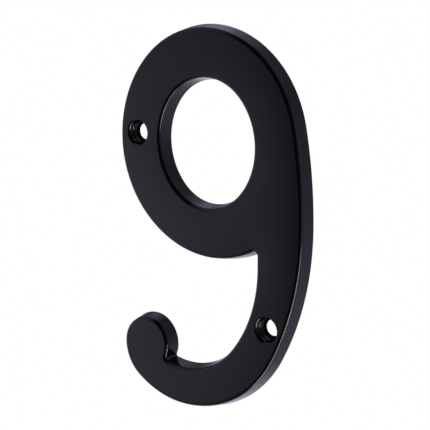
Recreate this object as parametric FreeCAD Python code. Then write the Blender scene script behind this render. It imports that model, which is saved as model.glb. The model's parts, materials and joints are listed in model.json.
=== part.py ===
import FreeCAD, Part
import math
import os

# A door numeral, the figure nine, cast in one piece.
# It has a flat back for the door, walls that lean in towards the front, a flat
# face with a rounded edge, an open counter, and a tail that ends in a ball.
# Two stepped screw holes run through it from front to back.
#
# Frame: +Z is up, the face looks along -Y, and the origin is the middle of the
# numeral's height and width, on the back. Lengths are millimetres.
# The outline is the one on the back, where the numeral is largest.

# Whole numeral
HEIGHT = 76.0
WIDTH = 45.6
THICKNESS = 3.2
DRAFT = 11.5            # degrees that every wall leans
FACE_ROUND = 0.7        # radius of the edge round the face

# Bowl, measured down from the top and in from the left
BOWL_HEIGHT = 44.9      # top of the numeral to the lowest point of the bowl
BOWL_SIDE_DROP = 22.5   # top of the numeral to the bowl's leftmost point
CROWN_INSET = 22.0      # left edge to the highest point
BOWL_FOOT_INSET = 23.1  # left edge to the bowl's lowest point

# Counter, as the strokes of metal left round it
TOP_STROKE = 10.45
LEFT_STROKE = 11.35
RIGHT_STROKE = 12.1
BOTTOM_STROKE = 10.6

# Back of the numeral: one long curve from the crown to the tail
FLANK_HEIGHT = 39.5     # foot of the numeral to its rightmost point
UPPER_FLANK_RADIUS = 93.0
LOWER_FLANK_RADIUS = 54.0

# Stem and tail
STEM_STROKE = 11.3      # right edge to the upright inner edge of the stem
TAIL_STROKE = 8.7       # metal under the lowest point of the inner edge
TAIL_FOOT_INSET = 16.1  # left edge to the lowest point of the tail
STEM_NOOK_RADIUS = 1.1  # inside corner between bowl and stem
STEM_RUN = 1.09         # upright run of the stem's inner edge, below that corner

# Ball at the end of the tail
BALL_RADIUS = 5.65        # the side that looks towards the stem
BALL_TOP_INSET = 7.25     # left edge to the highest point of the ball
BALL_TOP_HEIGHT = 17.35   # foot of the numeral to that point
BALL_SIDE_INSET = 0.3     # left edge to the leftmost point of the ball
BALL_SIDE_HEIGHT = 10.9   # foot of the numeral to that point
BALL_NOOK_RADIUS = 0.6    # inside corner between ball and tail

# Screw holes: a recess in two steps and a clearance bore, with a cone above each wall
UPPER_HOLE_INSET = 5.1      # left edge to the hole in the bowl
UPPER_HOLE_HEIGHT = 54.4    # foot of the numeral to the hole in the bowl
LOWER_HOLE_INSET = 8.4      # right edge to the hole in the stem
LOWER_HOLE_HEIGHT = 19.8    # foot of the numeral to the hole in the stem
MOUTH_DIAMETER = 5.3        # on the face
RECESS_DIAMETER = 4.5
RECESS_DEPTH = 1.1          # face to the foot of the recess wall
SEAT_STEP = 0.17            # the seat wall stands this much inside the recess wall
SEAT_DEPTH = 2.1            # face to the foot of the seat wall
BORE_DIAMETER = 3.2
CONE_ANGLE = 90.0           # degrees across every cone

# Worked out from the sizes above
LEFT = -WIDTH / 2
RIGHT = WIDTH / 2
TOP = HEIGHT / 2
FOOT = -HEIGHT / 2
SETBACK = THICKNESS * math.tan(math.radians(DRAFT))
FRONT = -THICKNESS


def four_centre_quadrant(half_width, half_height):
    """Radii at the level end and the upright end of a quarter oval, and the angle where they meet.

    This is the draughtsman's oval: the two centres and the joint lie on the line
    through the chord's middle, square to the chord.
    """
    chord = math.hypot(half_width, half_height)
    level = chord * (chord + half_width - half_height) / (2 * half_height)
    upright = chord * (chord + half_height - half_width) / (2 * half_width)
    return level, upright, math.degrees(math.atan2(half_width, half_height))


def flanked_quadrant(half_width, half_height, upright):
    """The same three values where the radius at the upright end is given."""
    level = (half_width ** 2 + half_height ** 2 - 2 * half_width * upright) / (2 * (half_height - upright))
    joint = math.atan2(abs(half_height - level), abs(half_width - upright))
    return level, upright, math.degrees(joint)


def quarter(x, z, start, half_width, half_height, flank_radius=None):
    """Two tangent arcs, counter-clockwise, from the axis at angle start to the next axis.

    An arc is (centre x, centre z, radius, first angle, last angle, side), and side is
    1 where the metal is inside the circle and -1 where it is outside.
    """
    if flank_radius is None:
        level, upright, joint = four_centre_quadrant(half_width, half_height)
    else:
        level, upright, joint = flanked_quadrant(half_width, half_height, flank_radius)
    upwards = 1 if start in (0, 90) else -1
    rightwards = 1 if start in (0, 270) else -1
    level_centre = (x, z + upwards * (half_height - level))
    upright_centre = (x + rightwards * (half_width - upright), z)
    if start in (0, 180):
        meet = start + joint
        return [(*upright_centre, upright, start, meet, 1),
                (*level_centre, level, meet, start + 90, 1)]
    meet = start + 90 - joint
    return [(*level_centre, level, start, meet, 1),
            (*upright_centre, upright, meet, start + 90, 1)]


def hollow(arcs):
    """The same arcs walked clockwise, as an inside curve with the metal outside it."""
    return [(x, z, radius, last, first, -1) for x, z, radius, first, last, _ in reversed(arcs)]


def left_hand_meeting(centre, reach, other, other_reach):
    """Point at given distances from two centres, on the left of the way from the first to the second."""
    way_x, way_z = other[0] - centre[0], other[1] - centre[1]
    span = math.hypot(way_x, way_z)
    along = (reach ** 2 - other_reach ** 2 + span ** 2) / (2 * span)
    across = math.sqrt(reach ** 2 - along ** 2)
    return (centre[0] + (along * way_x - across * way_z) / span,
            centre[1] + (along * way_z + across * way_x) / span)


def numeral_outline():
    """Arcs round the numeral on its back, counter-clockwise from the crown."""
    crown_x = LEFT + CROWN_INSET
    bowl_side_z = TOP - BOWL_SIDE_DROP
    bowl_foot_x = LEFT + BOWL_FOOT_INSET
    bowl_foot_z = TOP - BOWL_HEIGHT
    tail_x = LEFT + TAIL_FOOT_INSET
    tail_z = FOOT + TAIL_STROKE
    stem_x = RIGHT - STEM_STROKE
    flank_z = FOOT + FLANK_HEIGHT
    ball_x = LEFT + BALL_TOP_INSET
    ball_z = FOOT + BALL_TOP_HEIGHT - BALL_RADIUS
    ball_side_x = LEFT + BALL_SIDE_INSET
    ball_side_z = FOOT + BALL_SIDE_HEIGHT

    bowl = quarter(crown_x, bowl_side_z, 90, crown_x - LEFT, TOP - bowl_side_z)
    bowl += quarter(bowl_foot_x, bowl_side_z, 180, bowl_foot_x - LEFT, bowl_side_z - bowl_foot_z)

    # The bowl's last arc runs on past its lowest point, to the nook at the stem.
    under_x, under_z, under_radius, under_first, _, _ = bowl.pop()
    nook_x = stem_x - STEM_NOOK_RADIUS
    nook_reach = under_radius + STEM_NOOK_RADIUS
    nook_z = under_z - math.sqrt(nook_reach ** 2 - (nook_x - under_x) ** 2)
    nook_angle = math.degrees(math.atan2(nook_z - under_z, nook_x - under_x))
    underside = (under_x, under_z, under_radius, under_first, 360 + nook_angle, 1)
    stem_nook = (nook_x, nook_z, STEM_NOOK_RADIUS, 180 + nook_angle, 0, -1)

    # Below a short upright run the inner edge turns into the tail, and goes on to the ball.
    stem_z = nook_z - STEM_RUN
    inner_sweep = quarter(tail_x, stem_z, 270, stem_x - tail_x, stem_z - tail_z)
    stem_curve, tail_curve = hollow(inner_sweep)
    low_x, low_z, low_radius, low_first, _, _ = tail_curve
    corner_x, corner_z = left_hand_meeting((low_x, low_z), low_radius - BALL_NOOK_RADIUS,
                                           (ball_x, ball_z), BALL_RADIUS + BALL_NOOK_RADIUS)
    corner_angle = 360 + math.degrees(math.atan2(corner_z - low_z, corner_x - low_x))
    ball_angle = math.degrees(math.atan2(corner_z - ball_z, corner_x - ball_x))
    tail_top = (low_x, low_z, low_radius, low_first, corner_angle, -1)
    ball_nook = (corner_x, corner_z, BALL_NOOK_RADIUS, corner_angle, 180 + ball_angle, -1)

    # The ball is round towards the stem, and a little fuller on its left.
    ball = [(ball_x, ball_z, BALL_RADIUS, ball_angle, 90, 1)]
    ball += quarter(ball_x, ball_side_z, 90, ball_x - ball_side_x, BALL_TOP_HEIGHT - BALL_SIDE_HEIGHT)
    back = quarter(tail_x, ball_side_z, 180, tail_x - ball_side_x, ball_side_z - FOOT)
    back += quarter(tail_x, flank_z, 270, RIGHT - tail_x, flank_z - FOOT, LOWER_FLANK_RADIUS)
    back += quarter(crown_x, flank_z, 0, RIGHT - crown_x, TOP - flank_z, UPPER_FLANK_RADIUS)
    return bowl + [underside, stem_nook, stem_curve, tail_top, ball_nook] + ball + back


def counter_outline():
    """Arcs round the counter on the numeral's back."""
    half_width = (WIDTH - LEFT_STROKE - RIGHT_STROKE) / 2
    half_height = (BOWL_HEIGHT - TOP_STROKE - BOTTOM_STROKE) / 2
    x = LEFT + LEFT_STROKE + half_width
    z = TOP - TOP_STROKE - half_height
    arcs = []
    for start in (0, 90, 180, 270):
        arcs += quarter(x, z, start, half_width, half_height)
    return arcs


def wire(arcs, inset, y):
    """Closed wire at depth y, moved inset into the metal, with straight runs between arcs that stand apart."""
    def point(x, z, radius, angle):
        turn = math.radians(angle)
        return FreeCAD.Vector(x + radius * math.cos(turn), y, z + radius * math.sin(turn))

    spans = []
    for x, z, radius, first, last, side in arcs:
        moved = radius - side * inset
        spans.append([point(x, z, moved, angle) for angle in (first, (first + last) / 2, last)])
    edges = []
    for span, following in zip(spans, spans[1:] + spans[:1]):
        edges.append(Part.Arc(*span).toShape())
        if not span[2].isEqual(following[0], 1e-6):
            edges.append(Part.LineSegment(span[2], following[0]).toShape())
    return Part.Wire(Part.__sortEdges__(edges))


def leaning_solid(arcs, setback):
    """Solid between the outline on the back and the same outline set back at the front."""
    return Part.makeLoft([wire(arcs, 0, 0), wire(arcs, setback, FRONT)], True, True)


def round_face_edges(body):
    """Round every edge that lies in the plane of the face."""
    box_slack = 1e-4
    edges = [edge for edge in body.Edges if edge.BoundBox.YMax < FRONT + box_slack]
    return body.makeFillet(FACE_ROUND, edges)


def screw_hole(x, z):
    """Cutter for one stepped hole, turned about its axis."""
    mouth = MOUTH_DIAMETER / 2
    recess = RECESS_DIAMETER / 2
    seat = recess - SEAT_STEP
    bore = BORE_DIAMETER / 2
    fall = 1 / math.tan(math.radians(CONE_ANGLE / 2))
    ahead = FRONT - THICKNESS
    behind = THICKNESS
    walls = [(mouth, ahead, FRONT),
             (recess, FRONT + fall * (mouth - recess), FRONT + RECESS_DEPTH),
             (seat, FRONT + RECESS_DEPTH + fall * SEAT_STEP, FRONT + SEAT_DEPTH),
             (bore, FRONT + SEAT_DEPTH + fall * (seat - bore), behind)]

    profile = [FreeCAD.Vector(x, ahead, z)]
    for radius, first, last in walls:
        profile += [FreeCAD.Vector(x + radius, first, z), FreeCAD.Vector(x + radius, last, z)]
    profile += [FreeCAD.Vector(x, behind, z), profile[0]]
    return Part.Face(Part.makePolygon(profile)).revolve(profile[0], FreeCAD.Vector(0, 1, 0), 360)


def numeral_nine():
    """The whole casting."""
    body = leaning_solid(numeral_outline(), SETBACK)
    body = body.cut(leaning_solid(counter_outline(), -SETBACK))
    body = round_face_edges(body)
    holes = [(LEFT + UPPER_HOLE_INSET, FOOT + UPPER_HOLE_HEIGHT),
             (RIGHT - LOWER_HOLE_INSET, FOOT + LOWER_HOLE_HEIGHT)]
    for x, z in holes:
        body = body.cut(screw_hole(x, z))
    return body.Solids[0]


os.makedirs("parts", exist_ok=True)
nine = numeral_nine()
nine.exportStep("parts/numeral_nine.step")
print("numeral_nine: valid", nine.isValid(), "volume %.1f mm3" % nine.Volume, "box", nine.BoundBox)
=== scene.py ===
# %% [markdown]
# # A door number: the figure nine
#
# The object is one small casting: a figure nine with a flat back, walls that lean
# in towards the front, a gently crowned face with a rounded edge, and two stepped
# screw holes. It wears a satin black coat. The lesson loads the measured solid,
# draws the same outline again with arrays, carries a finely rounded section along
# it, coats it, and lights it as in the photograph.

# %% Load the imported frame
import json
import math

import bpy
import numpy as np
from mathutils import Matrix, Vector
from mathutils.geometry import delaunay_2d_cdt


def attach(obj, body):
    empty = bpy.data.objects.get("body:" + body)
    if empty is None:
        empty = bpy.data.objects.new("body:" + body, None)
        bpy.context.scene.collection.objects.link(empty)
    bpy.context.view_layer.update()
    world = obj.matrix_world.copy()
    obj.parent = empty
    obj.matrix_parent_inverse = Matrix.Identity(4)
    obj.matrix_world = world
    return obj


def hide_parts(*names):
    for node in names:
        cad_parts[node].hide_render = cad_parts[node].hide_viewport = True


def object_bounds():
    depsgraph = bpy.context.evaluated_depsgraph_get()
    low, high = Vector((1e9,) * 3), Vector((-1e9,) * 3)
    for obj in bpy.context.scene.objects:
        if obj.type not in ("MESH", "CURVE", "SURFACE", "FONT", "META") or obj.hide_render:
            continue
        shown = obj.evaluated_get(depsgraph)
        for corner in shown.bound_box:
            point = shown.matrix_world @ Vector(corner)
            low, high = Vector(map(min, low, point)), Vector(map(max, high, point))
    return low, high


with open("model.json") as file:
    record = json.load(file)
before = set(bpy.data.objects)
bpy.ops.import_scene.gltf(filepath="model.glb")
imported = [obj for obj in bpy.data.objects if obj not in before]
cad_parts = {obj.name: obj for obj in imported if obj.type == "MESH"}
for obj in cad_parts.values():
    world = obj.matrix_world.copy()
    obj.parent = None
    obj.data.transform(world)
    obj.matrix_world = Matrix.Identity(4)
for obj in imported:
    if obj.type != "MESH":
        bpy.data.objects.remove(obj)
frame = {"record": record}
cad_box = [list(corner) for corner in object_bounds()]
print("box of the solid in mm:", np.round(np.array(cad_box) * 1000, 3).tolist())

# %% [markdown]
# ## Driving sizes
#
# The frame already knows how tall, wide and thick the numeral is and where its
# screws go, so those are read from it. The rest are the strokes and radii that a
# pattern maker would write on a drawing, in millimetres. Everything is worked out
# in millimetres and turned into metres once, when the mesh is made.

# %% Sizes read from the frame
MM = 0.001
low, high = (np.array(corner) / MM for corner in cad_box)
LEFT, RIGHT, FOOT, TOP = low[0], high[0], low[2], high[2]
THICKNESS = high[1] - low[1]
screw_mounts = [mount for mount in frame["record"]["mounts"] if mount["kind"] == "bore"]
screw_places = np.array([mount["pos_m"] for mount in screw_mounts]) / MM
BORE_RADIUS = screw_mounts[0]["dims"]["r_mm"]
print("thickness %.2f mm, screws at" % THICKNESS, screw_places[:, [0, 2]].round(2).tolist())

# %% Strokes and radii of the figure
BOWL_HEIGHT, BOWL_SIDE_DROP = 44.9, 22.5
CROWN_INSET, BOWL_FOOT_INSET = 22.0, 23.1
TOP_STROKE, LEFT_STROKE, RIGHT_STROKE, BOTTOM_STROKE = 10.45, 11.35, 12.1, 10.6
FLANK_HEIGHT, UPPER_FLANK, LOWER_FLANK = 39.5, 93.0, 54.0
STEM_STROKE, STEM_NOOK, STEM_RUN = 11.3, 0.20, 2.52
TAIL_STROKE, TAIL_FOOT_INSET = 8.7, 16.1
BALL_RADIUS, BALL_NOOK = 5.65, 0.3
BALL_TOP_INSET, BALL_TOP_HEIGHT = 7.25, 17.35
BALL_SIDE_INSET, BALL_SIDE_HEIGHT = 0.3, 10.9
print("counter strokes:", TOP_STROKE, LEFT_STROKE, RIGHT_STROKE, BOTTOM_STROKE, "mm")

# %% [markdown]
# ## The outline as a run of arcs
#
# A numeral like this is drawn with compasses: every curve is a circle's arc, and
# each arc leaves the one before it in the same direction. Free-form curves would
# also do, but arcs keep the shape exact when it is set back into the metal: an
# offset arc is an arc with another radius. A quarter of an oval is two arcs.
#
# An arc is a row of six numbers: centre x, centre z, radius, first angle, last
# angle, and side. Side is 1 where the metal is inside the circle and -1 where it
# is outside.

# %% Quarter ovals
def quarter_oval(x, z, start, half_width, half_height, flank=None):
    """Two tangent arcs from the axis at angle start to the next axis.

    Without a flank radius the two centres lie on the line through the middle of the
    chord, square to it. With one, the other radius follows from the joint being common.
    """
    if flank is None:
        chord = math.hypot(half_width, half_height)
        level = chord * (chord + half_width - half_height) / (2 * half_height)
        upright = chord * (chord + half_height - half_width) / (2 * half_width)
    else:
        upright = flank
        span = half_width ** 2 + half_height ** 2 - 2 * half_width * flank
        level = span / (2 * (half_height - flank))
    joint = math.degrees(math.atan2(abs(half_height - level), abs(half_width - upright)))
    up = 1 if start in (0, 90) else -1
    right = 1 if start in (0, 270) else -1
    side_arc = (x + right * (half_width - upright), z, upright)
    level_arc = (x, z + up * (half_height - level), level)
    if start in (0, 180):
        return [(*side_arc, start, start + joint, 1), (*level_arc, start + joint, start + 90, 1)]
    return [(*level_arc, start, start + 90 - joint, 1), (*side_arc, start + 90 - joint, start + 90, 1)]


def hollow(arcs):
    """The same arcs walked the other way, with the metal outside them."""
    return [(x, z, radius, last, first, -1) for x, z, radius, first, last, _ in arcs[::-1]]


example = np.round(quarter_oval(0, 0, 0, 20, 30), 2)
print("quarter of a 20 x 30 oval:", example.tolist())

# %% Bowl, and the nook where it meets the stem
crown_x, bowl_side_z = LEFT + CROWN_INSET, TOP - BOWL_SIDE_DROP
foot_x, foot_z = LEFT + BOWL_FOOT_INSET, TOP - BOWL_HEIGHT
stem_x = RIGHT - STEM_STROKE
bowl = quarter_oval(crown_x, bowl_side_z, 90, crown_x - LEFT, TOP - bowl_side_z)
bowl += quarter_oval(foot_x, bowl_side_z, 180, foot_x - LEFT, bowl_side_z - foot_z)
under_x, under_z, under_radius, under_first = bowl.pop()[:4]
nook_x = stem_x - STEM_NOOK
nook_z = under_z - math.sqrt((under_radius + STEM_NOOK) ** 2 - (nook_x - under_x) ** 2)
nook_turn = math.degrees(math.atan2(nook_z - under_z, nook_x - under_x))
bowl += [(under_x, under_z, under_radius, under_first, 360 + nook_turn, 1),
         (nook_x, nook_z, STEM_NOOK, 180 + nook_turn, 0, -1)]
print("bowl: %d arcs, nook at (%.2f, %.2f)" % (len(bowl), nook_x, nook_z))

# %% Stem and tail
STRAIGHT = 1e5  # a straight run is an arc of a very large circle
tail_x, tail_z = LEFT + TAIL_FOOT_INSET, FOOT + TAIL_STROKE
stem_z = nook_z - STEM_RUN
run_turn = math.degrees(STEM_RUN / STRAIGHT)
stem_curve, tail_top = hollow(quarter_oval(tail_x, stem_z, 270, stem_x - tail_x, stem_z - tail_z))
low_x, low_z, low_radius, low_first = tail_top[:4]
print("inner sweep: radii %.2f and %.2f mm" % (stem_curve[2], low_radius))

# %% Ball, and the nook where the tail meets it
ball_x, ball_z = LEFT + BALL_TOP_INSET, FOOT + BALL_TOP_HEIGHT - BALL_RADIUS
ball_side_x, ball_side_z = LEFT + BALL_SIDE_INSET, FOOT + BALL_SIDE_HEIGHT


def left_hand_meeting(centre, reach, other, other_reach):
    """Point at given distances from two centres, left of the way from the first to the second."""
    way = complex(*other) - complex(*centre)
    along = (reach ** 2 - other_reach ** 2 + abs(way) ** 2) / (2 * abs(way))
    across = math.sqrt(reach ** 2 - along ** 2)
    meeting = complex(*centre) + complex(along, across) * way / abs(way)
    return meeting.real, meeting.imag


corner_x, corner_z = left_hand_meeting((low_x, low_z), low_radius - BALL_NOOK,
                                       (ball_x, ball_z), BALL_RADIUS + BALL_NOOK)
corner_turn = 360 + math.degrees(math.atan2(corner_z - low_z, corner_x - low_x))
ball_turn = math.degrees(math.atan2(corner_z - ball_z, corner_x - ball_x))
hook = [(stem_x - STRAIGHT, stem_z, STRAIGHT, run_turn, 0, -1), stem_curve,
        (low_x, low_z, low_radius, low_first, corner_turn, -1),
        (corner_x, corner_z, BALL_NOOK, corner_turn, 180 + ball_turn, -1),
        (ball_x, ball_z, BALL_RADIUS, ball_turn, 90, 1)]
ball_rise = BALL_TOP_HEIGHT - BALL_SIDE_HEIGHT
hook += quarter_oval(ball_x, ball_side_z, 90, ball_x - ball_side_x, ball_rise)
print("hook: %d arcs, the ball meets the tail %.1f degrees below level" % (len(hook), -ball_turn))

# %% Long back of the figure, and the counter
flank_z = FOOT + FLANK_HEIGHT
spine = quarter_oval(tail_x, ball_side_z, 180, tail_x - ball_side_x, ball_side_z - FOOT)
spine += quarter_oval(tail_x, flank_z, 270, RIGHT - tail_x, flank_z - FOOT, LOWER_FLANK)
spine += quarter_oval(crown_x, flank_z, 0, RIGHT - crown_x, TOP - flank_z, UPPER_FLANK)
outline = bowl + hook + spine

eye_width = (RIGHT - LEFT - LEFT_STROKE - RIGHT_STROKE) / 2
eye_height = (BOWL_HEIGHT - TOP_STROKE - BOTTOM_STROKE) / 2
eye_x, eye_z = LEFT + LEFT_STROKE + eye_width, TOP - TOP_STROKE - eye_height
eye = []
for start in (0, 90, 180, 270):
    eye += quarter_oval(eye_x, eye_z, start, eye_width, eye_height)
counter = hollow(eye)
print("outline: %d arcs, counter: %d arcs" % (len(outline), len(counter)))
print("half axes of the counter: %.2f x %.2f mm" % (eye_width, eye_height))

# %% Walk the arcs
POINT_STEP = 0.38   # spacing along the edges
LEAST_POINTS = 7    # on the shortest arcs


def walk(arcs):
    """Points along a run of arcs: centre x, centre z, radius, side and angle, as five arrays.

    Each arc is cut into equal turns. Its last point is left to the next arc's first.
    """
    arcs = np.array(arcs, float)
    turn = np.radians(arcs[:, 4] - arcs[:, 3])
    counts = np.maximum(np.ceil(np.abs(turn) * arcs[:, 2] / POINT_STEP), LEAST_POINTS).astype(int)
    owner = np.repeat(np.arange(len(arcs)), counts)
    nth = np.arange(len(owner)) - np.repeat(np.cumsum(counts) - counts, counts)
    angle = np.radians(arcs[owner, 3]) + turn[owner] * nth / counts[owner]
    return arcs[owner, 0], arcs[owner, 1], arcs[owner, 2], arcs[owner, 5], angle


outline_path, counter_path = walk(outline), walk(counter)
print("points: outline %d, counter %d" % (len(outline_path[0]), len(counter_path[0])))

# %% [markdown]
# ## The section of the edge
#
# Cut across the edge of the casting and you see the flat back, a small soft corner,
# the leaning wall and the rounded front edge. The coat fills every sharp corner a
# little, so even the back edge has a radius. A bevel modifier could round the edges,
# but a section with its own arcs gives exact normals, and a satin surface shows
# every error in them.
#
# A section is drawn from the back to the front as a line with rounded corners. Its
# two axes are the inset into the metal and the depth along Y.

# %% Section with rounded corners
def rounded_section(corners, radii, steps):
    """Inset, depth and the two parts of the outward normal along a line with round corners.

    At each inner corner the heading turns evenly from the line before to the line
    after. A point is the arc's centre plus the radius times (sine, minus cosine) of
    the heading, and that same vector is the normal.
    """
    pieces = []
    for before, corner, after, radius in zip(corners, corners[1:], corners[2:], radii):
        arriving = math.atan2(corner[1] - before[1], corner[0] - before[0])
        leaving = math.atan2(after[1] - corner[1], after[0] - corner[0])
        turn = (leaving - arriving + math.pi) % (2 * math.pi) - math.pi
        bend = math.copysign(radius, turn)
        back_off = radius * math.tan(abs(turn) / 2)
        centre = np.array(corner) - back_off * np.array([math.cos(arriving), math.sin(arriving)])
        centre += bend * np.array([-math.sin(arriving), math.cos(arriving)])
        heading = arriving + turn * np.linspace(0, 1, steps)
        normal = np.stack([np.sin(heading), -np.cos(heading)], -1)
        pieces.append(np.hstack([centre + bend * normal, normal]))
    return np.concatenate(pieces).T


# %% Section of the wall
DRAFT = 11.5         # degrees that every wall leans
FACE_ROUND = 0.7
BACK_EDGE = 0.08     # coat over the back corner
FACE_CROWN = 0.12    # rise of the face above its edge
INWARDS = 4.0        # ends of a section: only their direction counts
WALL_STEPS = 15      # points on each rounded corner
edge_front = FACE_CROWN - THICKNESS
lean = -edge_front * math.tan(math.radians(DRAFT))
wall_corners = [(INWARDS, 0), (0, 0), (lean, edge_front), (INWARDS, edge_front)]
wall_section = rounded_section(wall_corners, [BACK_EDGE, FACE_ROUND], WALL_STEPS)
print("wall: %d points, flat face starts %.2f mm in" % (wall_section.shape[1], wall_section[0, -1]))

# %% [markdown]
# ## The section of a screw hole
#
# A screw hole is turned with a stepped cutter: a chamfered mouth, a recess for the
# head in two steps, a cone for it to sit on, and the bore for the shank. It could be
# cut with a boolean, but a section that is turned round the screw keeps clean rings of
# points. The coat runs thick over the two steps, so they are well rounded, and each
# of them holds one crescent of light.

# %% Section of a screw hole
MOUTH_RADIUS, RECESS_RADIUS, RECESS_DEPTH = 2.65, 2.25, 1.1
SEAT_RADIUS, SEAT_DEPTH = 2.08, 2.1
BACK_RELIEF = 0.56   # the back edge of the bore is broken this far
HOLE_STEPS = 9       # points on each rounded corner
recess_foot, seat_foot = RECESS_DEPTH - THICKNESS, SEAT_DEPTH - THICKNESS
rounded_corners = [  # inset, depth and radius, from the back to the front
    (BORE_RADIUS + BACK_RELIEF, 0, 0.06),
    (BORE_RADIUS, -BACK_RELIEF, 0.03),
    (BORE_RADIUS, seat_foot + SEAT_RADIUS - BORE_RADIUS, 0.06),
    (SEAT_RADIUS, seat_foot, 0.08),
    (SEAT_RADIUS, recess_foot + RECESS_RADIUS - SEAT_RADIUS, 0.50),
    (RECESS_RADIUS, recess_foot, 0.06),
    (RECESS_RADIUS, edge_front + MOUTH_RADIUS - RECESS_RADIUS, 0.75),
    (MOUTH_RADIUS, edge_front, 0.20)]
hole_corners = [(INWARDS, 0)] + [corner[:2] for corner in rounded_corners] + [(INWARDS, edge_front)]
hole_section = rounded_section(hole_corners, [corner[2] for corner in rounded_corners], HOLE_STEPS)
print("hole: %d points, narrowest %.2f mm" % (hole_section.shape[1], hole_section[0].min()))

# %% [markdown]
# ## Carry the section along the path
#
# Every point of the path knows the centre and radius of its own arc. Setting a point
# of the section into the metal only changes that radius, so the whole surface is two
# broadcast arrays. A screw hole is the same thing on a circle of no radius.

# %% Section carried along a path
HOLE_POINTS = 96


def carry(path, section):
    """Places and normals of a section carried along a path, as two grids.

    x is the centre plus (radius - side * inset) times the cosine of the angle, z is the
    same with the sine, and y is the depth. The normal turns with the angle.
    """
    x, z, radius, side, angle = (row[:, None] for row in path)
    inset, depth, lean_in, lean_y = (row[None, :] for row in section)
    reach = radius - side * inset
    cos, sin = np.cos(angle), np.sin(angle)
    places = np.stack(np.broadcast_arrays(x + reach * cos, depth, z + reach * sin), -1)
    normals = np.stack(np.broadcast_arrays(-side * cos * lean_in, lean_y, -side * sin * lean_in), -1)
    return places, normals


def ring(x, z):
    """Path round a screw: a circle of no radius, walked clockwise, with the metal outside it."""
    angle = np.linspace(0, -2 * np.pi, HOLE_POINTS, endpoint=False)
    return tuple(np.full(HOLE_POINTS, value) for value in (x, z, 0.0, -1.0)) + (angle,)


surfaces = [carry(outline_path, wall_section), carry(counter_path, wall_section)]
surfaces += [carry(ring(x, z), hole_section) for x, _, z in screw_places]
print("grids:", [places.shape[:2] for places, _ in surfaces])

# %% Join the grids into one list of points
starts = np.cumsum([0] + [places.shape[0] * places.shape[1] for places, _ in surfaces])
points = np.concatenate([places.reshape(-1, 3) for places, _ in surfaces])
normals = np.concatenate([normal.reshape(-1, 3) for _, normal in surfaces])


def closed_quads(start, rows, columns):
    """Four-cornered faces of a grid whose last row joins its first."""
    here = start + np.arange(rows)[:, None] * columns + np.arange(columns - 1)
    there = np.roll(here, -1, 0)
    return np.stack([here, there, there + 1, here + 1], -1).reshape(-1, 4)


shapes = [places.shape[:2] for places, _ in surfaces]
quads = np.concatenate([closed_quads(start, *shape) for start, shape in zip(starts, shapes)])
back_loops = [start + np.arange(rows) * columns for start, (rows, columns) in zip(starts, shapes)]
front_loops = [loop + columns - 1 for loop, (_, columns) in zip(back_loops, shapes)]
print("points %d, quads %d" % (len(points), len(quads)))

# %% [markdown]
# ## Face and back
#
# The face is a flat region with three openings: the counter and the two holes. It is
# filled with triangles that keep every edge of those loops. The face also gets points
# inside it, because it is not quite flat: cast and polished numerals are a little
# fuller in the middle of each stroke, and that is what lets a soft shade run across
# the black.

# %% Fill between loops
INSIDE_ONLY = 1      # the filler keeps the triangles inside the edges it is given
SAME_POINT = 1e-7    # points nearer than this would be merged


def fill(loops, inner_points):
    """Triangles between loops of points, by constrained Delaunay triangulation.

    A triangle whose three corners are all on one of the openings lies inside it, and is
    dropped. The first loop is the outline, the others are the openings.
    """
    rim = np.concatenate(loops)
    flat = np.concatenate([points[rim][:, [0, 2]], inner_points])
    counts = [len(loop) for loop in loops]
    owner = np.append(np.repeat(np.arange(len(loops)), counts), np.full(len(inner_points), -1))
    here = np.arange(len(rim))
    there = np.concatenate([np.roll(part, -1) for part in np.split(here, np.cumsum(counts)[:-1])])
    links = np.stack([here, there], 1)
    found = delaunay_2d_cdt(flat.tolist(), links.tolist(), [], INSIDE_ONLY, SAME_POINT)
    assert np.allclose(np.array(found[0]), flat, atol=1e-5)
    corners = np.array(found[2])
    owners = owner[corners]
    opening = (owners[:, 0] > 0) & (owners == owners[:, :1]).all(1)
    return flat, corners[~opening]


# %% Points inside the face
INNER_STEP = 0.8
ROW_STEP = 0.866 * INNER_STEP   # rows of even-sided triangles
INNER_GAP = 0.45     # least distance from an edge


def inside(spots, loops):
    """True for spots in the metal and clear of its edges.

    A line from such a spot to the right crosses the loops an odd number of times.
    """
    start = np.concatenate([points[loop][:, [0, 2]] for loop in loops])
    end = np.concatenate([points[np.roll(loop, -1)][:, [0, 2]] for loop in loops])
    x, z = spots[:, :1], spots[:, 1:]
    between = (start[:, 1] > z) != (end[:, 1] > z)
    rise = np.where(end[:, 1] == start[:, 1], 1, end[:, 1] - start[:, 1])
    crossing = start[:, 0] + (z - start[:, 1]) * (end[:, 0] - start[:, 0]) / rise
    clear = np.hypot(x - start[:, 0], z - start[:, 1]).min(1) > INNER_GAP
    return clear & ((between & (crossing > x)).sum(1) % 2 == 1)


grid_x, grid_z = np.meshgrid(np.arange(LEFT, RIGHT, INNER_STEP), np.arange(FOOT, TOP, ROW_STEP))
grid_x[1::2] += INNER_STEP / 2
spots = np.stack([grid_x, grid_z], -1).reshape(-1, 2)
spots = spots[inside(spots, front_loops)]
flat_face, face_triangles = fill(front_loops, spots)
_, back_triangles = fill(back_loops, np.zeros((0, 2)))
print("face: %d inner points, %d triangles" % (len(spots), len(face_triangles)))
print("back: %d triangles" % len(back_triangles))

# %% [markdown]
# ## The crown of the face
#
# A soap film over the strokes, held at their edges and blown up a little, has just
# this shape: fullest in the middle of a stroke, fuller still where bowl and stem
# meet, and level along each edge. The film's height is where the pull of every
# triangle balances an even pressure.

# %% Soap film over the face
FILM_STEPS = 400


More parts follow.
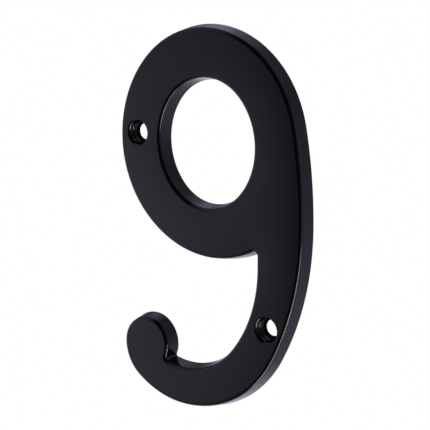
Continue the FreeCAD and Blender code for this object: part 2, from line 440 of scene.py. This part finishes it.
def soap_film(flat, triangles, held):
    """Height of a soap film over flat triangles, zero at the held points and at most 1.

    The pull along an edge is half the sum of the cotangents of the angles that face it.
    The balance of pull and pressure is solved by conjugate gradients.
    """
    corner = flat[triangles]
    after, before = np.roll(corner, -1, 1) - corner, np.roll(corner, 1, 1) - corner
    double_area = after[..., 0] * before[..., 1] - after[..., 1] * before[..., 0]
    pull = ((after * before).sum(-1) / double_area / 2).ravel()
    one, two = np.roll(triangles, -1, 1).ravel(), np.roll(triangles, 1, 1).ravel()
    free = np.ones(len(flat))
    free[held] = 0
    residual = free * np.bincount(triangles.ravel(), (double_area / 6).ravel(), len(flat))
    height, search = np.zeros(len(flat)), residual.copy()
    for _ in range(FILM_STEPS):
        slack = pull * (search[one] - search[two])
        answer = free * (np.bincount(one, slack, len(flat)) - np.bincount(two, slack, len(flat)))
        size = residual @ residual
        along = size / max(search @ answer, 1e-30)
        height, residual = height + along * search, residual - along * answer
        search = residual + (residual @ residual) / max(size, 1e-30) * search
    print("film residual %.1e, highest %.3f" % (np.abs(residual).max(), height.max()))
    return height / height.max()


edge_count = len(front_loops[0]) + len(front_loops[1])
film = soap_film(flat_face, face_triangles, np.arange(edge_count))

# %% Raise the face and close the mesh
rim = np.concatenate(front_loops)
face_index = np.concatenate([rim, len(points) + np.arange(len(spots))])
points = np.concatenate([points, np.zeros((len(spots), 3))])
normals = np.concatenate([normals, np.zeros((len(spots), 3))])
points[face_index] = np.stack([flat_face[:, 0], edge_front - FACE_CROWN * film, flat_face[:, 1]], -1)
for start, (places, _), loop in list(zip(starts, surfaces, front_loops))[2:]:
    mouth = points[start:start + places.shape[0] * places.shape[1]].reshape(places.shape)
    share = np.clip((recess_foot - places[..., 1]) / (recess_foot - edge_front), 0, 1)
    mouth[..., 1] = places[..., 1] + share * (points[loop, 1] - edge_front)[:, None]

face_triangles = face_index[face_triangles]
back_triangles = np.concatenate(back_loops)[back_triangles][:, ::-1]
a, b, c = (points[face_triangles[:, k]] for k in range(3))
facing = np.repeat(np.cross(b - a, c - a), 3, 0)
owners = face_triangles.ravel()
summed = np.stack([np.bincount(owners, facing[:, k], len(points)) for k in range(3)], -1)
normals[face_index] = summed[face_index]
normals /= np.linalg.norm(normals, axis=1, keepdims=True)
print("face runs from y %.3f to %.3f mm" % (points[face_index, 1].max(), points[face_index, 1].min()))

# %% Test that the shell is closed and faces outwards
halves = np.concatenate([quads[:, :3], quads[:, [0, 2, 3]], face_triangles, back_triangles])
sides = np.sort(np.concatenate([halves[:, [0, 1]], halves[:, [1, 2]], halves[:, [2, 0]]]), 1)
shared = np.unique(sides, axis=0, return_counts=True)[1]
a, b, c = (points[halves[:, k]] for k in range(3))
volume = (a * np.cross(b, c)).sum() / 6   # pyramids from the origin to each triangle
print("edges with other than two faces:", int((shared != 2).sum()), "triangles:", len(halves))
print("volume %.1f mm3" % volume)

# %% Make the piece
mesh = bpy.data.meshes.new("numeral_nine_coated")
faces = quads.tolist() + face_triangles.tolist() + back_triangles.tolist()
mesh.from_pydata((points * MM).tolist(), [], faces)
mesh.polygons.foreach_set("use_smooth", np.ones(len(mesh.polygons), bool))
mesh.normals_split_custom_set_from_vertices(normals.tolist())
mesh.update()
numeral = bpy.data.objects.new("numeral_nine_coated", mesh)
bpy.context.scene.collection.objects.link(numeral)
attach(numeral, "root")
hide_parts("numeral_nine")
print("piece:", numeral.name, len(mesh.vertices), "points")

# %% [markdown]
# ## The satin black coat
#
# The finish is a thin baked coat. Close up it is not quite smooth: it lies in soft
# waves about a millimetre across, with a fine tooth on top, and its gloss varies a
# little. The back, which lies against the door, is coarser, as it was cast. An image
# could carry such a grain, but noise needs no seams and reads the same place on every
# wall. One node group makes both from two layers of noise, and the material places it
# twice. The base colour is almost nothing: what the eye sees is what the coat mirrors.

# %% Node helpers
def add_node(tree, kind, **values):
    """New node of a kind, with its own settings given by name."""
    node = tree.nodes.new(kind)
    for name, value in values.items():
        setattr(node, name, value)
    return node


def wire_up(tree, *pairs):
    """Join pairs of an output and an input."""
    for source, target in pairs:
        tree.links.new(source, target)


# %% Grain of a coat, as a node group
coat_grain = bpy.data.node_groups.new("coat grain", "ShaderNodeTree")
coat_grain.interface.new_socket("Place", in_out="INPUT", socket_type="NodeSocketVector")
for name in ("Waves per Metre", "Tooth per Metre"):
    coat_grain.interface.new_socket(name, in_out="INPUT", socket_type="NodeSocketFloat")
for name in ("Height", "Tone"):
    coat_grain.interface.new_socket(name, in_out="OUTPUT", socket_type="NodeSocketFloat")
source, result = add_node(coat_grain, "NodeGroupInput"), add_node(coat_grain, "NodeGroupOutput")
waves = add_node(coat_grain, "ShaderNodeTexNoise")
waves.inputs["Detail"].default_value = 1.0
tooth = add_node(coat_grain, "ShaderNodeTexNoise")
tooth.inputs["Detail"].default_value = 2.0
height = add_node(coat_grain, "ShaderNodeMath", operation="MULTIPLY_ADD")
height.inputs[1].default_value = 0.25   # share of the tooth beside the waves
wire_up(coat_grain,
        (source.outputs["Place"], waves.inputs["Vector"]),
        (source.outputs["Place"], tooth.inputs["Vector"]),
        (source.outputs["Waves per Metre"], waves.inputs["Scale"]),
        (source.outputs["Tooth per Metre"], tooth.inputs["Scale"]),
        (tooth.outputs["Fac"], height.inputs[0]),
        (waves.outputs["Fac"], height.inputs[2]),
        (height.outputs[0], result.inputs["Height"]),
        (waves.outputs["Fac"], result.inputs["Tone"]))
print("group:", coat_grain.name, [item.name for item in coat_grain.interface.items_tree])

# %% Satin black coat
coat = bpy.data.materials.new("satin_black_coat")
coat.use_nodes = True
tree = coat.node_tree
shader = tree.nodes["Principled BSDF"]
where = add_node(tree, "ShaderNodeTexCoord")
front_grain = add_node(tree, "ShaderNodeGroup", node_tree=coat_grain, label="front and walls")
back_grain = add_node(tree, "ShaderNodeGroup", node_tree=coat_grain, label="back")
front_grain.inputs["Waves per Metre"].default_value = 900
front_grain.inputs["Tooth per Metre"].default_value = 4200
back_grain.inputs["Waves per Metre"].default_value = 420
back_grain.inputs["Tooth per Metre"].default_value = 2200
depth = add_node(tree, "ShaderNodeSeparateXYZ")
on_back = add_node(tree, "ShaderNodeMapRange")
on_back.inputs["From Min"].default_value = -0.10 * MM
on_back.inputs["From Max"].default_value = -0.02 * MM
wire_up(tree,
        (where.outputs["Object"], front_grain.inputs["Place"]),
        (where.outputs["Object"], back_grain.inputs["Place"]),
        (where.outputs["Object"], depth.inputs[0]),
        (depth.outputs["Y"], on_back.inputs["Value"]))
print("grain of the front and of the back placed from", where.bl_label)

# %% Colour, gloss and relief of the coat
colour = add_node(tree, "ShaderNodeMix", data_type="RGBA")
colour.inputs["A"].default_value = (0.0008, 0.0008, 0.0011, 1)
colour.inputs["B"].default_value = (0.0016, 0.0016, 0.0021, 1)
gloss = add_node(tree, "ShaderNodeMapRange")
gloss.inputs["To Min"].default_value = 0.17
gloss.inputs["To Max"].default_value = 0.22
gloss_here = add_node(tree, "ShaderNodeMix", data_type="FLOAT")
gloss_here.inputs["B"].default_value = 0.55
relief = add_node(tree, "ShaderNodeMix", data_type="FLOAT")
bump = add_node(tree, "ShaderNodeBump")
bump.inputs["Strength"].default_value = 0.06
bump.inputs["Distance"].default_value = 0.008 * MM
wire_up(tree,
        (front_grain.outputs["Tone"], colour.inputs["Factor"]),
        (colour.outputs["Result"], shader.inputs["Base Color"]),
        (front_grain.outputs["Tone"], gloss.inputs["Value"]),
        (gloss.outputs["Result"], gloss_here.inputs["A"]),
        (on_back.outputs["Result"], gloss_here.inputs["Factor"]),
        (gloss_here.outputs["Result"], shader.inputs["Roughness"]),
        (on_back.outputs["Result"], relief.inputs["Factor"]),
        (front_grain.outputs["Height"], relief.inputs["A"]),
        (back_grain.outputs["Height"], relief.inputs["B"]),
        (relief.outputs["Result"], bump.inputs["Height"]),
        (bump.outputs["Normal"], shader.inputs["Normal"]))
mesh.materials.append(coat)
print("material:", coat.name, len(tree.nodes), "nodes")

# %% [markdown]
# ## The room round the numeral
#
# A black object is lit by what it mirrors. Head on, the coat sends back about a
# twenty-fifth of the light that meets it, so the grey of the face is a dim picture of
# the room. In the photograph the face mirrors something pale on its left, the rounded
# edge mirrors a dark gap near the camera, the walls mirror a grey at the right, and
# thin bright lines run where edge and wall meet.
#
# A studio builds such a room from paper, screens and strip lamps. Many lamps of
# different strength would also do, but each of them would change the floor and every
# shadow. Here the light stays plain, a white world over a white floor, and the screens
# are seen in reflections alone: they can be graded freely, and they light nothing.

# %% Sheets for the stage
def sheet(name, places, material):
    """Grid of places made a mesh object on the stage."""
    rows, columns = places.shape[:2]
    here = (np.arange(rows - 1)[:, None] * columns + np.arange(columns - 1)).ravel()
    faces = np.stack([here, here + 1, here + columns + 1, here + columns], -1)
    data = bpy.data.meshes.new(name)
    data.from_pydata(places.reshape(-1, 3).tolist(), [], faces.tolist())
    data.materials.append(material)
    made = bpy.data.objects.new(name, data)
    bpy.context.scene.collection.objects.link(made)
    return made


def level_grid(xs, ys, z):
    """Grid of places at one height, from a row of x and a row of y."""
    x, y = np.meshgrid(xs, ys)
    return np.stack([x, y, np.full_like(x, z)], -1)


def bare_material(name):
    """Material without its first shader, which the light sampler leaves alone.

    Lamp samples are then kept for the strip lamps. Large glowing sheets need none,
    because reflections find them by themselves.
    """
    material = bpy.data.materials.new(name)
    material.use_nodes = True
    material.cycles.emission_sampling = "NONE"
    material.node_tree.nodes.remove(material.node_tree.nodes["Principled BSDF"])
    return material, material.node_tree, material.node_tree.nodes["Material Output"].inputs["Surface"]


# %% [markdown]
# ## White floor and white world
#
# The ground of the photograph is an even white, and the numeral hangs well clear of it.
# Strong lamps could bleach a floor, but they would bleach the object too. So the floor
# is white paper that glows at a strength of one for the camera and for reflections. To
# all other rays it stays paper, and a small share of paper is left for the shadow.

# %% White floor
FLOOR_DROP = 0.30    # floor below the middle of the numeral, in metres
FLOOR_REACH = 12.0
GLOW_SHARE = 0.98
white_floor, tree, surface = bare_material("white_floor")
paper = add_node(tree, "ShaderNodeBsdfDiffuse")
paper.inputs["Color"].default_value = (0.9, 0.9, 0.9, 1)
glow = add_node(tree, "ShaderNodeEmission")
rays = add_node(tree, "ShaderNodeLightPath")
seen = add_node(tree, "ShaderNodeMath", operation="ADD")
seen_all = add_node(tree, "ShaderNodeMath", operation="ADD", use_clamp=True)
share = add_node(tree, "ShaderNodeMath", operation="MULTIPLY")
share.inputs[1].default_value = GLOW_SHARE
blend = add_node(tree, "ShaderNodeMixShader")
wire_up(tree,
        (rays.outputs["Is Camera Ray"], seen.inputs[0]),
        (rays.outputs["Is Glossy Ray"], seen.inputs[1]),
        (seen.outputs[0], seen_all.inputs[0]),
        (rays.outputs["Is Transmission Ray"], seen_all.inputs[1]),
        (seen_all.outputs[0], share.inputs[0]),
        (share.outputs[0], blend.inputs[0]),
        (paper.outputs[0], blend.inputs[1]),
        (glow.outputs[0], blend.inputs[2]),
        (blend.outputs[0], surface))
reach = np.linspace(-FLOOR_REACH, FLOOR_REACH, 5)
sheet("floor", level_grid(reach, reach, -FLOOR_DROP), white_floor)
print("floor at z", -FLOOR_DROP)

# %% White world
world = bpy.data.worlds.new("studio")
bpy.context.scene.world = world
world.use_nodes = True
world.node_tree.nodes["Background"].inputs["Color"].default_value = (1, 1, 1, 1)
print("world:", world.name)

# %% [markdown]
# ## Cards that only reflections see
#
# A card's glow is graded by two ramps that are multiplied: one over the bearing round
# the numeral, the other over a coordinate. Painted images could grade the cards too,
# but ramps say in a few numbers where each shade begins. A bearing is counted in
# degrees from straight ahead of the face, and it grows towards the right. The camera
# stands at 39.5 degrees.

# %% Shades
def grey(level):
    """Plain grey of a level."""
    return (level, level, level)


def cool(level):
    """Grey of a level with the slight blue of a shaded studio."""
    return (0.94 * level, 0.94 * level, 1.22 * level)


def shades(tint, *stops):
    """Stops of a ramp: pairs of a place and a level, coloured by grey or cool."""
    return [(place, tint(level)) for place, level in stops]


def graded(tree, source, stops, unit):
    """Colour of a ramp over a value. Places of the stops are in units of that value."""
    low, high = stops[0][0], stops[-1][0]
    along = add_node(tree, "ShaderNodeMapRange")
    along.inputs["From Min"].default_value = low * unit
    along.inputs["From Max"].default_value = high * unit
    ramp = add_node(tree, "ShaderNodeValToRGB")
    marks = ramp.color_ramp.elements
    while len(marks) < len(stops):
        marks.new(1.0)
    for mark, (place, shade) in zip(marks, stops):
        mark.position = (place - low) / (high - low)
        mark.color = (*shade, 1)
    wire_up(tree, (source, along.inputs["Value"]), (along.outputs["Result"], ramp.inputs["Fac"]))
    return ramp.outputs["Color"]


print("cool grey of level 0.5:", np.round(cool(0.5), 3).tolist())

# %% Reflection cards
def reflection_card(name, places, by_bearing=None, by_place=None, axis="Z", plain=grey(1.0)):
    """Sheet that glows by bearing times place along an axis, and is seen in reflections alone.

    A card without a ramp over the bearing has one plain shade in its place.
    """
    material, tree, surface = bare_material(name)
    spot = add_node(tree, "ShaderNodeTexCoord")
    parts = add_node(tree, "ShaderNodeSeparateXYZ")
    forward = add_node(tree, "ShaderNodeMath", operation="MULTIPLY")
    forward.inputs[1].default_value = -1.0
    bearing = add_node(tree, "ShaderNodeMath", operation="ARCTAN2")
    glow = add_node(tree, "ShaderNodeMix", data_type="RGBA", blend_type="MULTIPLY")
    glow.inputs["Factor"].default_value = 1.0
    glow.inputs["A"].default_value = (*plain, 1)
    glow.inputs["B"].default_value = (1, 1, 1, 1)
    light = add_node(tree, "ShaderNodeEmission")
    wire_up(tree,
            (spot.outputs["Object"], parts.inputs[0]),
            (parts.outputs["Y"], forward.inputs[0]),
            (parts.outputs["X"], bearing.inputs[0]),
            (forward.outputs[0], bearing.inputs[1]),
            (glow.outputs["Result"], light.inputs["Color"]),
            (light.outputs[0], surface))
    if by_bearing:
        wire_up(tree, (graded(tree, bearing.outputs[0], by_bearing, math.radians(1)), glow.inputs["A"]))
    if by_place:
        wire_up(tree, (graded(tree, parts.outputs[axis], by_place, 1.0), glow.inputs["B"]))
    card = sheet(name, places, material)
    card.visible_camera = card.visible_shadow = False
    card.visible_diffuse = card.visible_transmission = False
    return card


# %% [markdown]
# ## Screens round the numeral
#
# Photographers stand tall screens round a shiny object and leave gaps between them.
# Here each screen is a piece of one cylinder. The front screen is pale on the left,
# where the face looks, and black from there to beyond the camera: that black is the
# dark line along every rounded edge. The right and back screens are the greys of the
# walls, and the dark panel before them is painted shade, which the screw holes and
# the ball look at.

# %% Screens in front
SCREEN_RADIUS, PANEL_RADIUS = 0.55, 0.5


def curved_screen(name, bearings, heights, by_bearing, by_height=None, radius=SCREEN_RADIUS):
    """Upright card bent round the object: a grid of bearings by heights on a cylinder."""
    turn, rise = np.meshgrid(np.radians(np.linspace(*bearings, 61)), np.linspace(*heights, 12))
    places = np.stack([radius * np.sin(turn), -radius * np.cos(turn), rise], -1)
    return reflection_card(name, places, by_bearing, by_height)


curved_screen("front_screen", (-95, 40), (-0.29, 1.2),
              shades(cool, (-95, 1.0), (-60, 0.98), (-48, 0.88), (-39.5, 0.70), (-33, 0.39),
                     (-27, 0.0), (40, 0.0)),
              shades(grey, (-0.29, 0.65), (-0.18, 0.605), (-0.12, 0.74), (-0.07, 0.64),
                     (0.0, 0.47), (0.27, 0.365), (0.9, 0.38)))
curved_screen("camera_screen", (40, 95), (-0.18, 1.2),
              shades(cool, (40, 0.0), (72, 0.0), (84, 0.36), (95, 0.40)),
              shades(grey, (-1.0, 1.0), (1.0, 0.7)))
print("front and camera screens at", SCREEN_RADIUS, "m")

# %% Screens at the right, behind and overhead
CEILING_REACH, CEILING_HEIGHT = 0.6, 1.2
curved_screen("right_screen", (95, 180), (-0.29, 1.4),
              shades(cool, (95, 0.40), (106, 0.48), (118, 0.54), (150, 0.6), (180, 0.5)),
              shades(grey, (-0.29, 1.0), (-0.2, 0.95), (-0.1, 0.8), (0.0, 0.66),
                     (0.27, 0.46), (0.9, 0.44), (1.4, 0.4)))
curved_screen("back_screen", (-180, -95), (-0.12, 1.4),
              shades(cool, (-180, 0.5), (-150, 0.65), (-138, 0.8), (-125, 0.38), (-110, 0.14),
                     (-95, 0.1)),
              shades(grey, (-0.12, 1.0), (0.0, 0.45), (0.08, 0.27), (0.18, 0.34), (0.3, 0.75),
                     (0.42, 1.0), (0.6, 0.7), (1.4, 0.5)))
# The dark panel is painted shade, seen only in the reflections of the screw holes and the ball.
curved_screen("dark_panel", (131, 174), (-0.16, 0.40),
              shades(cool, (131, 0.3), (136, 0.06), (168, 0.06), (174, 0.3)),
              radius=PANEL_RADIUS)
reach = np.linspace(-CEILING_REACH, CEILING_REACH, 5)
reflection_card("ceiling_screen", level_grid(reach, reach, CEILING_HEIGHT), plain=grey(0.03))

# %% [markdown]
# ## Glowing cards on the floor
#
# Walls that face downwards mirror the floor. In front of the numeral lies a dark apron,
# and behind its edge the floor is a shaded white. On the right that edge runs towards
# the viewer, so that the light along the lower right wall fades upwards as in the
# photograph. Lengths are in floor drops, because the place where a mirrored ray lands
# grows with the drop of the floor.

# %% Dark apron, shaded floor and dark patch
EDGE_SLOPE = 0.386       # the apron's edge comes forward this much per step to the right
EDGE_START = -0.02       # place of the edge straight below the numeral
APRON_REACH, SHADE_DEPTH, LEFT_DEPTH = 3.0, 1.3, 1.1
CARD_LIFT, PATCH_LIFT = 0.01, 0.012   # metres above the floor
across = np.linspace(-APRON_REACH, APRON_REACH, 49)
right_edge = EDGE_START - EDGE_SLOPE * across
left_edge = np.minimum(EDGE_START - across, LEFT_DEPTH)
far_edge = np.where(across > 0, right_edge, left_edge)


def floor_strip(near, far):
    """Grid of places just above the floor between two lines, given as y for each x across."""
    x, share = np.meshgrid(across, np.linspace(0, 1, 5))
    flat = np.stack([x, near + share * (far - near), np.full_like(x, -1.0)], -1)
    return flat * FLOOR_DROP + np.array([0, 0, CARD_LIFT])


apron_shades = shades(cool, (-180, 0.5), (-90, 0.45), (-30, 0.06), (0, 0.01), (180, 0.01))
depth_shades = shades(cool, (-1.2 * FLOOR_DROP, 0.9), (0.0, 0.6), (0.7 * FLOOR_DROP, 0.5),
                      (1.3 * FLOOR_DROP, 0.9))
# The dark patch is painted shade that the screw holes mirror, like the dark panel.
patch_places = level_grid(FLOOR_DROP * np.linspace(-0.35, 1.7, 5),
                          FLOOR_DROP * np.linspace(1.08, 2.4, 5), PATCH_LIFT - FLOOR_DROP)
cards = [reflection_card("floor_apron", floor_strip(-APRON_REACH, far_edge), apron_shades),
         reflection_card("floor_shade", floor_strip(far_edge, SHADE_DEPTH),
                         by_place=depth_shades, axis="Y"),
         reflection_card("dark_floor", patch_places, plain=cool(0.06))]
print("cards:", [card.name for card in cards])

# %% [markdown]
# ## A light card below the foot
#
# The walls that face down, under the bowl and the tail, are much lighter than the rest,
# as if white paper lay close behind the foot. One small card does the same. It gets
# dimmer towards the right, where the glow in the photograph fades. A brighter floor
# would do it too, but would light up the walls on the right as well.

# %% Light card below the foot
FOOT_CARD_DROP = 55      # millimetres below the middle of the numeral
foot_shades = shades(cool, (-34 * MM, 1.0), (-14 * MM, 0.95), (2 * MM, 0.9), (16 * MM, 0.75),
                     (26 * MM, 0.55))
foot_places = level_grid(MM * np.linspace(-34, 26, 6), MM * np.linspace(4, 26, 6), -FOOT_CARD_DROP * MM)
reflection_card("foot_card", foot_places, by_place=foot_shades, axis="X")
print("foot card %.0f mm below the foot" % (FOOT_CARD_DROP + FOOT))

# %% [markdown]
# ## Two strip lamps
#
# The thin bright lines between edge and wall are mirrored strip lights. Two narrow
# lamps lie along the edge of the apron and shine upwards. Small round lamps would give
# dots instead of lines, and large ones would wash out the dark edge beside the line.

# %% Strip lamps
STRIP_LIFT = 0.02        # metres above the floor


def strip_lamp(name, x, y, length, width, radiance):
    """Narrow lamp along the apron's edge: x, y and length in floor drops, width in metres.

    Its surface is as bright as a white of that radiance: power is pi times area times radiance.
    """
    light = bpy.data.lights.new(name, "AREA")
    light.shape, light.size, light.size_y = "RECTANGLE", length * FLOOR_DROP, width
    light.energy = math.pi * light.size * light.size_y * radiance
    lamp = bpy.data.objects.new(name, light)
    lamp.location = (x * FLOOR_DROP, y * FLOOR_DROP, STRIP_LIFT - FLOOR_DROP)
    lamp.rotation_euler = (0, math.pi, -math.atan2(EDGE_SLOPE, 1))
    lamp.visible_camera = False
    bpy.context.scene.collection.objects.link(lamp)
    return lamp


strips = [strip_lamp("near_strip", 0.397, -0.19, 0.65, 0.05, 8.0),
          strip_lamp("far_strip", 2.683, -1.072, 4.25, 0.06, 16.0)]
print("lamps:", ", ".join("%s %.2f W" % (lamp.name, lamp.data.energy) for lamp in strips))

# %% [markdown]
# ## The camera
#
# The photograph was taken from the right of the face and a little above it. Distance
# and lens were found from how much the far side of the figure shrinks.

# %% Camera at the photograph's place
EYE = Vector((0.1464, -0.1781, 0.04755))
AIM = Vector((0.002235, -0.0032, 0.00228))
FOCAL_PIXELS, PICTURE_PIXELS = 1218.5, 430
lens = bpy.data.cameras.new("photo_camera")
lens.sensor_width = 36.0
lens.lens = FOCAL_PIXELS / PICTURE_PIXELS * lens.sensor_width
camera = bpy.data.objects.new("photo_camera", lens)
camera.location = EYE
camera.rotation_euler = (AIM - EYE).to_track_quat("-Z", "Y").to_euler()
bpy.context.scene.collection.objects.link(camera)
bpy.context.scene.camera = camera
bpy.context.scene.view_settings.view_transform = "Standard"
print("lens %.2f mm at %.1f mm from the face" % (lens.lens, (AIM - EYE).length / MM))
